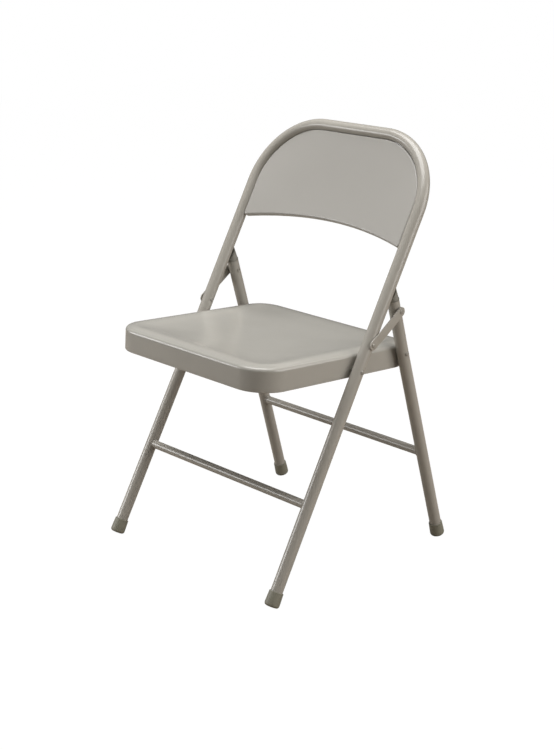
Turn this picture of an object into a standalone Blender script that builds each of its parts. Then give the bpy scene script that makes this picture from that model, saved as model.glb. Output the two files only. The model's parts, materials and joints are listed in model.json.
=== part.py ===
"""Steel folding chair: a bent-tube front frame, a pivoting pressed seat and a rear leg pair held by two links.

Units are metres, +Z is up and the sitter faces -Y. The origin is on the floor, half way between the front
and the rear feet. The seat, the rear legs, the links and the front frame make a four-bar linkage on each side.
"""
import math

import bmesh
import bpy
from mathutils import Matrix, Vector

# Overall size
FRAME_HEIGHT = 0.767            # floor to the centre line of the bow
SEAT_WIDTH = 0.399
RAIL_RAKE = math.radians(29.47)  # front frame, from vertical, leaning back
LEG_LEAN = math.radians(16.22)   # rear legs, from vertical, leaning forward
CROSSING_ABOVE_PIVOT = 0.1435   # rail axis meets leg axis this far above the seat's rail pivot

# Tubes
TUBE_RADIUS = 0.0111
TUBE_WALL = 0.0012
STRETCHER_RADIUS = 0.00795
SPLAY = 0.004                   # each rail, outward from the seat down to the floor
BOW_RADIUS = 0.134
FRONT_STRETCHER_HEIGHT = 0.1666
REAR_STRETCHER_HEIGHT = 0.1855

# Seat
RAIL_PIVOT_HEIGHT = 0.3865
SEAT_TILT = math.radians(4.06)   # rear edge lower than the front edge
SKIRT_BELOW_RAIL_PIVOT = 0.0140
LEG_PIVOT_RISE = 0.0170         # above the rail pivot, square to the seat
SEAT_FRONT_REACH = 0.2238       # from the rail pivot
SEAT_REAR_REACH = 0.043         # from the leg pivot
SEAT_SKIRT = 0.036
SEAT_EDGE_RADIUS = 0.007
SEAT_CROWN = 0.0026             # soft rim, above the edge
SEAT_DISH = 0.0045              # middle, below the edge
SEAT_FRONT_CORNER = 0.058
SEAT_REAR_CORNER = 0.047
SEAT_LIP = 0.005
SEAT_SHEET = 0.0012
RAIL_GAP = 0.0027               # seat skirt to rail
LEG_GAP = 0.0014                # seat skirt to rear leg

# Back panel
PANEL_DROP = 0.205              # bow centre line to the panel's lower corners, along the rails
PANEL_ARCH = 0.026
PANEL_HOLLOW = 0.0165           # how far the middle of the lower edge curves back
PANEL_FRONT = 0.005             # face, in front of the tube's centre plane
PANEL_FLANGE = 0.010
PANEL_EDGE_RADIUS = 0.004
PANEL_LOWER_CORNER = 0.005
PANEL_SHEET = 0.001

# Links
LINK_WIDTH = 0.0175
LINK_SHEET = 0.002
LINK_JOGGLE = 0.0012
LINK_JOGGLE_START = 0.012
LINK_JOGGLE_LENGTH = 0.006
LINK_ABOVE_RAIL_PIVOT = 0.0515  # along the rail
LINK_ABOVE_LEG_PIVOT = 0.0882   # along the leg

# Rivets
RIVET_RADIUS = 0.003
RIVET_HEAD_LIP = 0.0017         # head beyond the shank
RIVET_HEAD = 0.0017
RIVET_TAIL_LIP = 0.0008         # rolled tail beyond the shank
RIVET_TAIL = 0.0012
SPACER_WALL = 0.0032            # beyond the rivet's hole

# Plastic ends
FOOT_LIP = 0.0019               # thickness at the open end
FOOT_WALL = 0.00265             # thickness near the sole
FOOT_EDGE_RADIUS = 0.005        # round the sole
FOOT_LENGTH = 0.0275
FOOT_WAIST = 0.4                # full width from here down, as a share of the length above the rounding
FOOT_SOLE = 0.0045
FOOT_WEAR = 0.0005              # worn away flat by the floor
CAP_COLLAR = 0.0016
CAP_TAPER = 0.0027              # lost from the radius over CAP_LENGTH
CAP_LENGTH = 0.033              # before it is sawn off along the rail
CAP_PLUG = 0.012
CAP_TUBE_SETBACK = 0.004

GAP = 0.0003                    # between pieces that touch

TUBE_SIDES = 20
STRETCHER_SIDES = 16
TURNED_SIDES = 16
BEND_STEPS = 11
CORNER_STEPS = 7
ARCH_STEPS = 12
SHARP_ANGLE = math.radians(35)

PAINT = (0.40, 0.385, 0.355)
PLASTIC = (0.155, 0.155, 0.125)
CAP_GREY = (0.30, 0.29, 0.265)
RIVET_STEEL = (0.27, 0.26, 0.24)

# Places that follow from the sizes above, in the side view's (y, z)
CROSSING_HEIGHT = RAIL_PIVOT_HEIGHT + CROSSING_ABOVE_PIVOT
FOOT_SPREAD = CROSSING_HEIGHT * (math.tan(RAIL_RAKE) + math.tan(LEG_LEAN))
RAIL_UP = Vector((0.0, math.sin(RAIL_RAKE), math.cos(RAIL_RAKE)))
LEG_UP = Vector((0.0, -math.sin(LEG_LEAN), math.cos(LEG_LEAN)))
FOOT_RADIUS = TUBE_RADIUS + FOOT_WALL
SOLE_RADIUS = FOOT_RADIUS - FOOT_EDGE_RADIUS
RIVET_HEAD_RADIUS = RIVET_RADIUS + RIVET_HEAD_LIP
RIVET_TAIL_RADIUS = RIVET_RADIUS + RIVET_TAIL_LIP
SPACER_RADIUS = RIVET_RADIUS + GAP + SPACER_WALL
SHEET_BEND = SEAT_SHEET * 1.5   # outer radius where the seat's lip is turned in


def edge_height(lean):
    """Where the rounding of a foot's sole is centred, along the tube from the floor."""
    return (SOLE_RADIUS * math.sin(lean) + FOOT_EDGE_RADIUS - FOOT_WEAR) / math.cos(lean)


def foot_reach(lean):
    """How far a foot sticks out in front of or behind its tube's axis at the floor."""
    return SOLE_RADIUS * math.cos(lean) + FOOT_EDGE_RADIUS - edge_height(lean) * math.sin(lean)


MIDDLE = (foot_reach(RAIL_RAKE) - foot_reach(LEG_LEAN)) / 2
FRONT_FOOT = Vector((0.0, MIDDLE - FOOT_SPREAD / 2, 0.0))
REAR_FOOT = Vector((0.0, MIDDLE + FOOT_SPREAD / 2, 0.0))
RAIL_X = SEAT_WIDTH / 2 + RAIL_GAP + TUBE_RADIUS
LEG_X = SEAT_WIDTH / 2 + LEG_GAP + TUBE_RADIUS
FOOT_X = RAIL_X + SPLAY
BOW_TOP = FRAME_HEIGHT / math.cos(RAIL_RAKE)

SEAT_BACKWARD = Vector((0.0, math.cos(SEAT_TILT), -math.sin(SEAT_TILT)))
SEAT_UPWARD = Vector((0.0, math.sin(SEAT_TILT), math.cos(SEAT_TILT)))
RAIL_PIVOT = FRONT_FOOT + RAIL_UP * (RAIL_PIVOT_HEIGHT / RAIL_UP.z)


def leg_pivot():
    """Where the leg's axis passes the line that lies LEG_PIVOT_RISE above the rail pivot, parallel to the seat."""
    start = RAIL_PIVOT + SEAT_UPWARD * LEG_PIVOT_RISE
    to_foot = REAR_FOOT - start
    turn = SEAT_BACKWARD.y * LEG_UP.z - SEAT_BACKWARD.z * LEG_UP.y
    distance = (to_foot.y * LEG_UP.z - to_foot.z * LEG_UP.y) / turn
    return start + SEAT_BACKWARD * distance


LEG_PIVOT = leg_pivot()
LINK_RAIL_PIVOT = RAIL_PIVOT + RAIL_UP * LINK_ABOVE_RAIL_PIVOT
LINK_LEG_PIVOT = LEG_PIVOT + LEG_UP * LINK_ABOVE_LEG_PIVOT
LINK_ANGLE = math.atan2(LINK_LEG_PIVOT.z - LINK_RAIL_PIVOT.z, LINK_LEG_PIVOT.y - LINK_RAIL_PIVOT.y)
LINK_LENGTH = (LINK_LEG_PIVOT - LINK_RAIL_PIVOT).length

RAIL_PIVOT_ALONG = (RAIL_PIVOT - FRONT_FOOT).length
LEG_PIVOT_ALONG = (LEG_PIVOT - REAR_FOOT).length
RAIL_SPLAY = math.atan2(FOOT_X - RAIL_X, RAIL_PIVOT_ALONG)
LEG_SPLAY = math.atan2(FOOT_X - LEG_X, LEG_PIVOT_ALONG)

# Faces along X, measured from the middle of the chair
SKIRT_FACE = SEAT_WIDTH / 2
RAIL_OUTSIDE = RAIL_X + TUBE_RADIUS
RAIL_INSIDE = RAIL_X - TUBE_RADIUS
LEG_OUTSIDE = LEG_X + TUBE_RADIUS
LEG_INSIDE = LEG_X - TUBE_RADIUS
LINK_EYE_FACE = RAIL_OUTSIDE + GAP
LINK_FACE = LINK_EYE_FACE + LINK_JOGGLE

# The rear leg's tube stops short of the rail, and its cap is cut off along the rail's back
CROSSING_ANGLE = RAIL_RAKE + LEG_LEAN
LEG_REACH = FOOT_SPREAD * math.cos(RAIL_RAKE)
LEG_TUBE_TOP = (LEG_REACH - TUBE_RADIUS * (1 + math.cos(CROSSING_ANGLE)) - CAP_TUBE_SETBACK) / math.sin(CROSSING_ANGLE)

SIDES = (("left", 1), ("right", -1))


# Shared tools

def clear_scene():
    for item in list(bpy.data.objects):
        bpy.data.objects.remove(item)


def material(name, colour, roughness, metallic):
    made = bpy.data.materials.new(name)
    made.use_nodes = True
    shader = made.node_tree.nodes["Principled BSDF"]
    shader.inputs["Base Color"].default_value = (*colour, 1.0)
    shader.inputs["Roughness"].default_value = roughness
    shader.inputs["Metallic"].default_value = metallic
    return made


def new_object(name, mesh_builder, look, place=Vector(), turn=(0.0, 0.0, 0.0)):
    """Make one piece from a filled bmesh, smooth where it is round, with a material of its own."""
    mesh_builder.normal_update()
    mesh = bpy.data.meshes.new(name)
    mesh_builder.to_mesh(mesh)
    mesh_builder.free()
    mesh.shade_smooth()
    mesh.set_sharp_from_angle(angle=SHARP_ANGLE)
    item = bpy.data.objects.new(name, mesh)
    item.location = place
    item.rotation_euler = turn
    if look:
        item.data.materials.append(material(name, *look))
    bpy.context.collection.objects.link(item)
    return item


def joint(name, place):
    """An empty on a hinge's axis. The pieces that turn about it are its children."""
    empty = bpy.data.objects.new(name, None)
    empty.location = place
    empty.empty_display_size = 0.03
    bpy.context.collection.objects.link(empty)
    return empty


def hang_on(pivot, pieces):
    for piece in pieces:
        piece.parent = pivot
        piece.location = piece.location - pivot.location


def thicken(item, thickness):
    """Give a sheet or a tube's skin its metal, on the inner side."""
    modifier = item.modifiers.new("wall", "SOLIDIFY")
    modifier.thickness = thickness
    modifier.offset = -1.0
    modifier.use_even_offset = True


def cut(item, cutter):
    modifier = item.modifiers.new("cut by " + cutter.name, "BOOLEAN")
    modifier.operation = "DIFFERENCE"
    modifier.solver = "EXACT"
    modifier.object = cutter


def as_cutter(item):
    item.hide_render = True
    item.display_type = "WIRE"
    return item


def start_tube(builder, centre, direction, radius, sides):
    """A ring of edges, square to the direction that the tube sets out in."""
    turn = Vector((0.0, 0.0, 1.0)).rotation_difference(direction).to_matrix().to_4x4()
    ring = bmesh.ops.create_circle(builder, segments=sides, radius=radius, matrix=Matrix.Translation(centre) @ turn)
    return list({edge for vertex in ring["verts"] for edge in vertex.link_edges})


def run_straight(builder, ring, step):
    grown = bmesh.ops.extrude_edge_only(builder, edges=ring)["geom"]
    verts = [part for part in grown if isinstance(part, bmesh.types.BMVert)]
    bmesh.ops.translate(builder, verts=verts, vec=step)
    return [part for part in grown if isinstance(part, bmesh.types.BMEdge) and all(v in verts for v in part.verts)]


def run_bend(builder, ring, centre, axis, angle, steps):
    grown = bmesh.ops.spin(builder, geom=ring, cent=centre, axis=axis, angle=angle, steps=steps)
    return [part for part in grown["geom_last"] if isinstance(part, bmesh.types.BMEdge)]


def facing_out(builder):
    bmesh.ops.recalc_face_normals(builder, faces=builder.faces)
    return builder


def turned(profile, sides, close=False):
    """Spin (radius, height) points about Z. A closed profile makes a ring, an open one ends on the axis."""
    builder = bmesh.new()
    verts = [builder.verts.new((radius, 0.0, height)) for radius, height in profile]
    edges = [builder.edges.new(pair) for pair in zip(verts, verts[1:])]
    if close:
        edges.append(builder.edges.new((verts[-1], verts[0])))
    bmesh.ops.spin(builder, geom=verts + edges, cent=(0, 0, 0), axis=(0, 0, 1), angle=math.tau, steps=sides)
    bmesh.ops.remove_doubles(builder, verts=builder.verts, dist=1e-6)
    return facing_out(builder)


def trim(builder, point, normal):
    """Saw off what lies on the normal's side of a plane and close the face."""
    everything = list(builder.verts) + list(builder.edges) + list(builder.faces)
    sawn = bmesh.ops.bisect_plane(
        builder, geom=everything, dist=1e-7, plane_co=point, plane_no=normal, clear_outer=True)
    rim = [part for part in sawn["geom_cut"] if isinstance(part, bmesh.types.BMEdge)]
    bmesh.ops.edgeloop_fill(builder, edges=rim)
    return facing_out(builder)


def arc(centre, radius, first, last, steps):
    """Points on a circle in a plane, from one angle to another in degrees."""
    points = []
    for step in range(steps + 1):
        angle = math.radians(first + (last - first) * step / steps)
        points.append((centre[0] + radius * math.cos(angle), centre[1] + radius * math.sin(angle)))
    return points


def spread(start, end, count):
    """Points strictly between two others."""
    return [
        (start[0] + (end[0] - start[0]) * step / count, start[1] + (end[1] - start[1]) * step / count)
        for step in range(1, count)]


def inward_normals(outline):
    """Unit normals that point into an outline that runs anticlockwise."""
    normals = []
    for before, after in zip(outline[-1:] + outline[:-1], outline[1:] + outline[:1]):
        along = Vector((after[0] - before[0], after[1] - before[1])).normalized()
        normals.append((-along.y, along.x))
    return normals


def pressed_sheet(outline, section, field, middle, shape):
    """Sheet pressed over an outline.

    section holds (inset, height) rings from the free edge to the field, and field holds (scale, height)
    rings about the middle. shape turns (across, along, height) into a place.
    """
    builder = bmesh.new()
    normals = inward_normals(outline)
    rings = []
    for inset, height in section:
        rings.append([(p[0] + n[0] * inset, p[1] + n[1] * inset, height) for p, n in zip(outline, normals)])
    last = rings[-1]
    for scale, height in field:
        rings.append([
            (middle[0] + (p[0] - middle[0]) * scale, middle[1] + (p[1] - middle[1]) * scale, height) for p in last])
    rows = [[builder.verts.new(shape(*point)) for point in ring] for ring in rings]
    for lower, upper in zip(rows, rows[1:]):
        for index in range(len(lower)):
            after = (index + 1) % len(lower)
            builder.faces.new((lower[index], lower[after], upper[after], upper[index]))
    hub = builder.verts.new(shape(middle[0], middle[1], field[-1][1]))
    for index, vertex in enumerate(rows[-1]):
        builder.faces.new((vertex, rows[-1][(index + 1) % len(rows[-1])], hub))
    return builder


# Cutters

def pivot_hole_cutter():
    """Rods on the four pivots of each side, for the rivets' holes."""
    builder = bmesh.new()
    inner = SKIRT_FACE - SEAT_REAR_CORNER / 2
    outer = LINK_FACE + LINK_SHEET * 2
    for _, side in SIDES:
        for pivot in (RAIL_PIVOT, LEG_PIVOT, LINK_RAIL_PIVOT, LINK_LEG_PIVOT):
            middle = Vector((side * (inner + outer) / 2, pivot.y, pivot.z))
            place = Matrix.Translation(middle) @ Matrix.Rotation(math.radians(90), 4, "Y")
            bmesh.ops.create_cone(
                builder, cap_ends=True, segments=TURNED_SIDES, radius1=RIVET_RADIUS + GAP,
                radius2=RIVET_RADIUS + GAP, depth=outer - inner, matrix=place)
    return as_cutter(new_object("pivot_hole_cutter", builder, None))


def splayed(side, splay):
    """Stands a piece made about Z on its foot's place, tilted as the tube is there."""
    return Matrix.Translation((side * FOOT_X, 0, 0)) @ Matrix.Rotation(-side * splay, 4, "Y")


def cope_cutter(name, foot, turn, splay):
    """Two rods along a pair of tubes, which shape a stretcher's ends to the tubes."""
    builder = bmesh.new()
    for _, side in SIDES:
        bmesh.ops.create_cone(
            builder, cap_ends=True, segments=TUBE_SIDES * 2, radius1=TUBE_RADIUS + GAP,
            radius2=TUBE_RADIUS + GAP, depth=FRAME_HEIGHT, matrix=splayed(side, splay))
    return as_cutter(new_object(name, builder, None, foot, turn))


# Front frame

RAIL_TURN = (-RAIL_RAKE, 0.0, 0.0)
LEG_TURN = (LEG_LEAN, 0.0, 0.0)


def sole(lean):
    """Where a foot's flat end is, along the tube from the floor."""
    return edge_height(lean) - FOOT_EDGE_RADIUS


def tube_end(lean):
    return sole(lean) + FOOT_SOLE


def front_frame(holes):
    """One tube: up the right rail, over the bow and down the left rail."""
    builder = bmesh.new()
    up = Vector((0, 0, 1))
    bottom = tube_end(RAIL_RAKE)
    straight = BOW_TOP - BOW_RADIUS - RAIL_PIVOT_ALONG
    rise = RAIL_PIVOT_ALONG - bottom
    inward = rise * math.tan(RAIL_SPLAY)
    ring = start_tube(builder, Vector((RAIL_X + inward, 0, bottom)), up, TUBE_RADIUS, TUBE_SIDES)
    ring = run_straight(builder, ring, Vector((-inward, 0, rise)))
    ring = run_straight(builder, ring, up * straight)
    corner_x = RAIL_X - BOW_RADIUS
    corner_z = BOW_TOP - BOW_RADIUS
    ring = run_bend(builder, ring, (corner_x, 0, corner_z), (0, -1, 0), math.radians(90), BEND_STEPS)
    ring = run_straight(builder, ring, Vector((-2 * corner_x, 0, 0)))
    ring = run_bend(builder, ring, (-corner_x, 0, corner_z), (0, -1, 0), math.radians(90), BEND_STEPS)
    ring = run_straight(builder, ring, -up * straight)
    run_straight(builder, ring, Vector((-inward, 0, -rise)))
    item = new_object("front_frame", facing_out(builder), (PAINT, 0.35, 0.0), FRONT_FOOT, RAIL_TURN)
    thicken(item, TUBE_WALL)
    cut(item, holes)
    return item


def stretcher(name, height, foot, lean, turn, cutter):
    """A thinner tube between two legs, its ends shaped to them."""
    builder = bmesh.new()
    level = height / math.cos(lean)
    ring = start_tube(builder, Vector((-FOOT_X, 0, level)), Vector((1, 0, 0)), STRETCHER_RADIUS, STRETCHER_SIDES)
    run_straight(builder, ring, Vector((2 * FOOT_X, 0, 0)))
    item = new_object(name, facing_out(builder), (PAINT, 0.35, 0.0), foot, turn)
    thicken(item, TUBE_WALL)
    cut(item, cutter)
    return item


def foot_cap(name, side, foot, lean, turn, splay):
    """Plastic boot over a tube's end, square to the tube, its sole rounded and worn flat where it stands."""
    centre = edge_height(lean)
    lip = sole(lean) + FOOT_LENGTH
    bore = TUBE_RADIUS + GAP
    floor = tube_end(lean) - GAP
    waist = centre + (lip - centre) * FOOT_WAIST
    profile = [(0, floor), (bore, floor), (bore, lip), (TUBE_RADIUS + FOOT_LIP, lip), (FOOT_RADIUS, waist)]
    profile += arc((SOLE_RADIUS, centre), FOOT_EDGE_RADIUS, 0, -90, 5)
    profile += [(0, centre - FOOT_EDGE_RADIUS)]
    builder = turned(profile, TURNED_SIDES)
    bmesh.ops.transform(builder, verts=builder.verts, matrix=splayed(side, splay))
    down = Matrix.Rotation(turn[0], 3, "X").transposed() @ Vector((0, 0, -1))
    trim(builder, Vector(), down)
    return new_object(name, builder, (PLASTIC, 0.55, 0.0), foot, turn)


def panel_outline():
    """Anticlockwise from the lower right corner: arched lower edge, straight sides, bow corners."""
    half = RAIL_INSIDE - GAP
    low = BOW_TOP - PANEL_DROP
    top_radius = BOW_RADIUS - TUBE_RADIUS - GAP
    top = BOW_TOP - TUBE_RADIUS - GAP
    corner = PANEL_LOWER_CORNER
    arch_half = half - corner
    lower = []
    for step in range(ARCH_STEPS + 1):
        across = -arch_half + 2 * arch_half * step / ARCH_STEPS
        lower.append((across, low + PANEL_ARCH * (1 - (across / arch_half) ** 2)))
    side_low = low + corner
    side_high = top - top_radius
    points = lower
    points += arc((arch_half, side_low), corner, -90, 0, 3)[1:]
    points += spread((half, side_low), (half, side_high), 3)
    points += arc((half - top_radius, side_high), top_radius, 0, 90, CORNER_STEPS)
    points += spread((half - top_radius, top), (top_radius - half, top), 4)
    points += arc((top_radius - half, side_high), top_radius, 90, 180, CORNER_STEPS)
    points += spread((-half, side_high), (-half, side_low), 3)
    points += arc((-arch_half, side_low), corner, 180, 270, 3)[:-1]
    return points


def back_panel():
    """Pressed sheet inside the bow, hollow towards its lower edge, with its flange turned back."""
    half = RAIL_INSIDE - GAP
    low = BOW_TOP - PANEL_DROP
    depth = PANEL_DROP - TUBE_RADIUS - GAP

    def shape(across, along, offset):
        rise = min(max((along - low) / depth, 0.0), 1.0)
        hollow = PANEL_HOLLOW * (1 - (across / half) ** 2) * (1 - rise ** 2)
        return Vector((across, offset + hollow, along))

    radius = PANEL_EDGE_RADIUS
    section = [(0.0, PANEL_FLANGE - PANEL_FRONT)]
    section += [(radius - c, radius - PANEL_FRONT - s) for c, s in arc((0, 0), radius, 0, 90, 3)]
    field = [(0.8, -PANEL_FRONT), (0.55, -PANEL_FRONT), (0.28, -PANEL_FRONT)]
    middle = (0.0, low + (PANEL_ARCH + depth) / 2)
    sheet = pressed_sheet(panel_outline(), section, field, middle, shape)
    item = new_object("back_panel", sheet, (PAINT, 0.35, 0.0), FRONT_FOOT, RAIL_TURN)
    thicken(item, PANEL_SHEET)
    return item


# Seat

def seat_outline():
    """Anticlockwise from the front right corner, with the rail pivot at the origin."""
    half = SKIRT_FACE
    front = -SEAT_FRONT_REACH
    rear = (LEG_PIVOT - RAIL_PIVOT).dot(SEAT_BACKWARD) + SEAT_REAR_REACH
    fore = SEAT_FRONT_CORNER
    aft = SEAT_REAR_CORNER
    points = arc((half - fore, front + fore), fore, -90, 0, CORNER_STEPS)
    points += spread((half, front + fore), (half, rear - aft), 9)
    points += arc((half - aft, rear - aft), aft, 0, 90, CORNER_STEPS)
    points += spread((half - aft, rear), (aft - half, rear), 6)
    points += arc((aft - half, rear - aft), aft, 90, 180, CORNER_STEPS)
    points += spread((-half, rear - aft), (-half, front + fore), 9)
    points += arc((fore - half, front + fore), fore, 180, 270, CORNER_STEPS)
    points += spread((fore - half, front), (half - fore, front), 6)
    return points


def seat_pan(holes):
    """Pressed pan: lip, skirt, rounded edge, soft crowned rim and a shallow dish."""
    radius = SEAT_EDGE_RADIUS
    edge = SEAT_SKIRT + radius
    section = [(SEAT_LIP, 0.0), (SHEET_BEND, 0.0), (0.0, SHEET_BEND)]
    section += [(radius - c, SEAT_SKIRT + s) for c, s in arc((0, 0), radius, 0, 90, 4)]
    section += [
        (radius * 2.0, edge + SEAT_CROWN * 0.75), (radius * 3.0, edge + SEAT_CROWN),
        (radius * 4.5, edge + SEAT_CROWN * 0.6), (radius * 6.5, edge - SEAT_DISH * 0.25)]
    field = [(0.8, edge - SEAT_DISH * 0.75), (0.5, edge - SEAT_DISH), (0.22, edge - SEAT_DISH)]
    middle = (0.0, (LEG_PIVOT - RAIL_PIVOT).length / 2 + (SEAT_REAR_REACH - SEAT_FRONT_REACH) / 2)

    def shape(across, along, height):
        return Vector((across, along, height - SKIRT_BELOW_RAIL_PIVOT))

    sheet = pressed_sheet(seat_outline(), section, field, middle, shape)
    item = new_object("seat_pan", sheet, (PAINT, 0.3, 0.0), RAIL_PIVOT, (-SEAT_TILT, 0.0, 0.0))
    thicken(item, SEAT_SHEET)
    cut(item, holes)
    return item


# Rear legs

def rear_leg(name, side, holes):
    builder = bmesh.new()
    bottom = tube_end(LEG_LEAN)
    up = Vector((0, 0, 1))
    rise = LEG_PIVOT_ALONG - bottom
    inward = side * rise * math.tan(LEG_SPLAY)
    ring = start_tube(builder, Vector((side * LEG_X + inward, 0, bottom)), up, TUBE_RADIUS, TUBE_SIDES)
    ring = run_straight(builder, ring, Vector((-inward, 0, rise)))
    run_straight(builder, ring, up * (LEG_TUBE_TOP - LEG_PIVOT_ALONG))
    item = new_object(name, facing_out(builder), (PAINT, 0.35, 0.0), REAR_FOOT, LEG_TURN)
    thicken(item, TUBE_WALL)
    cut(item, holes)
    return item


def leg_top_cap(name, side):
    """Plug with a collar and a taper, sawn off along the rail's back, where it rests."""
    plug = TUBE_RADIUS - TUBE_WALL - GAP
    seat = LEG_TUBE_TOP + GAP
    taper_top = LEG_TUBE_TOP + CAP_LENGTH
    profile = [
        (0, seat - CAP_PLUG), (plug, seat - CAP_PLUG), (plug, seat), (TUBE_RADIUS + GAP, seat),
        (TUBE_RADIUS + GAP, seat + CAP_COLLAR), (TUBE_RADIUS - GAP, seat + CAP_COLLAR),
        (TUBE_RADIUS - CAP_TAPER, taper_top), (0, taper_top)]
    builder = turned(profile, TURNED_SIDES)
    bmesh.ops.translate(builder, verts=builder.verts, vec=(side * LEG_X, 0, 0))
    into_leg = Matrix.Rotation(LEG_LEAN, 3, "X").transposed()
    rail_back = Vector((0.0, math.cos(RAIL_RAKE), -math.sin(RAIL_RAKE)))
    rail_axis_point = FRONT_FOOT - REAR_FOOT
    touch = rail_axis_point + rail_back * (TUBE_RADIUS + GAP)
    trim(builder, into_leg @ touch, -(into_leg @ rail_back))
    return new_object(name, builder, (CAP_GREY, 0.5, 0.0), REAR_FOOT, LEG_TURN)


# Links

def link(name, side, holes):
    """Strip with round ends. Its eye lies on the rail, and a joggle lifts the rest outward."""
    builder = bmesh.new()
    radius = LINK_WIDTH / 2
    stations = [(-c * radius, s * radius) for c, s in arc((0, 0), 1.0, 0, 90, 4)]
    stations += [(LINK_JOGGLE_START, radius), (LINK_JOGGLE_START + LINK_JOGGLE_LENGTH, radius)]
    stations += [(LINK_LENGTH + s * radius, c * radius) for c, s in arc((0, 0), 1.0, 0, 90, 4)]
    rows = []
    for along, half in stations:
        lift = LINK_JOGGLE if along > LINK_JOGGLE_START else 0.0
        across = side * (LINK_EYE_FACE + lift)
        width = (-half, half) if half > 1e-6 else (0.0,)
        rows.append([builder.verts.new((across, along, offset)) for offset in width])
    for first, second in zip(rows, rows[1:]):
        builder.faces.new(first + second[::-1])
    for face in builder.faces:
        face.normal_update()
        if face.normal.x * side < 0:
            face.normal_flip()
    item = new_object(name, builder, (PAINT, 0.35, 0.0), LINK_RAIL_PIVOT, (LINK_ANGLE, 0.0, 0.0))
    thicken(item, LINK_SHEET)
    item.modifiers["wall"].offset = 1.0
    cut(item, holes)
    return item


# Rivets and spacers

def across_turn(side):
    """Turns a piece's own +Z to point outward on one side of the chair."""
    return (0.0, side * math.radians(90), 0.0)


def domed_head(face):
    """The outer half of a rivet's profile, from the shank out and over a low dome to the axis."""
    rim = (RIVET_HEAD_RADIUS * 0.93, face + RIVET_HEAD * 0.5)
    crown = (RIVET_HEAD_RADIUS * 0.6, face + RIVET_HEAD * 0.9)
    return [(RIVET_RADIUS, face), (RIVET_HEAD_RADIUS, face), rim, crown, (0, face + RIVET_HEAD)]


def rolled_tail(face):
    """The inner half of a rivet's profile, from the axis out and back to the shank."""
    end = face - RIVET_TAIL
    return [(0, end), (RIVET_TAIL_RADIUS * 0.8, end), (RIVET_TAIL_RADIUS, face), (RIVET_RADIUS, face)]


def rivet(name, side, pivot, tail_face, head_face):
    """Domed head outside, rolled tail inside. Faces are distances from the middle of the chair."""
    profile = rolled_tail(tail_face - GAP) + domed_head(head_face + GAP)
    return new_object(name, turned(profile, TURNED_SIDES), (RIVET_STEEL, 0.4, 0.6), pivot, across_turn(side))


def spacer(name, side, pivot, inner_face, outer_face):
    """Ring around a rivet, between two pieces."""
    bore = RIVET_RADIUS + GAP
    profile = [
        (bore, inner_face + GAP), (bore, outer_face - GAP),
        (SPACER_RADIUS, outer_face - GAP), (SPACER_RADIUS, inner_face + GAP)]
    builder = turned(profile, TURNED_SIDES, close=True)
    return new_object(name, builder, (RIVET_STEEL, 0.4, 0.6), pivot, across_turn(side))


def leg_rivet(name, side):
    """The leg's half of its pivot on the seat: it ends at the seat's skirt, where the linkage is open."""
    end = SKIRT_FACE + GAP
    profile = [(0, end), (RIVET_RADIUS, end)] + domed_head(LEG_OUTSIDE + GAP)
    return new_object(name, turned(profile, TURNED_SIDES), (RIVET_STEEL, 0.4, 0.6), LEG_PIVOT, across_turn(side))


def skirt_at(along):
    """How far the seat's skirt is from the middle, at a distance behind the rail pivot."""
    rear = (LEG_PIVOT - RAIL_PIVOT).dot(SEAT_BACKWARD) + SEAT_REAR_REACH
    into_corner = max(along - (rear - SEAT_REAR_CORNER), 0.0)
    return SKIRT_FACE - SEAT_REAR_CORNER + math.sqrt(SEAT_REAR_CORNER ** 2 - into_corner ** 2)


def leg_rivet_tail(name, side):
    """The seat's half of the same pivot: through the skirt, with its tail inside the pan."""
    along = (LEG_PIVOT - RAIL_PIVOT).dot(SEAT_BACKWARD)
    outer = skirt_at(along + RIVET_RADIUS + GAP) - GAP
    inner = skirt_at(along + RIVET_TAIL_RADIUS + GAP) - SHEET_BEND - GAP
    profile = rolled_tail(inner) + [(RIVET_RADIUS, outer), (0, outer)]
    return new_object(name, turned(profile, TURNED_SIDES), (RIVET_STEEL, 0.4, 0.6), LEG_PIVOT, across_turn(side))


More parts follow.
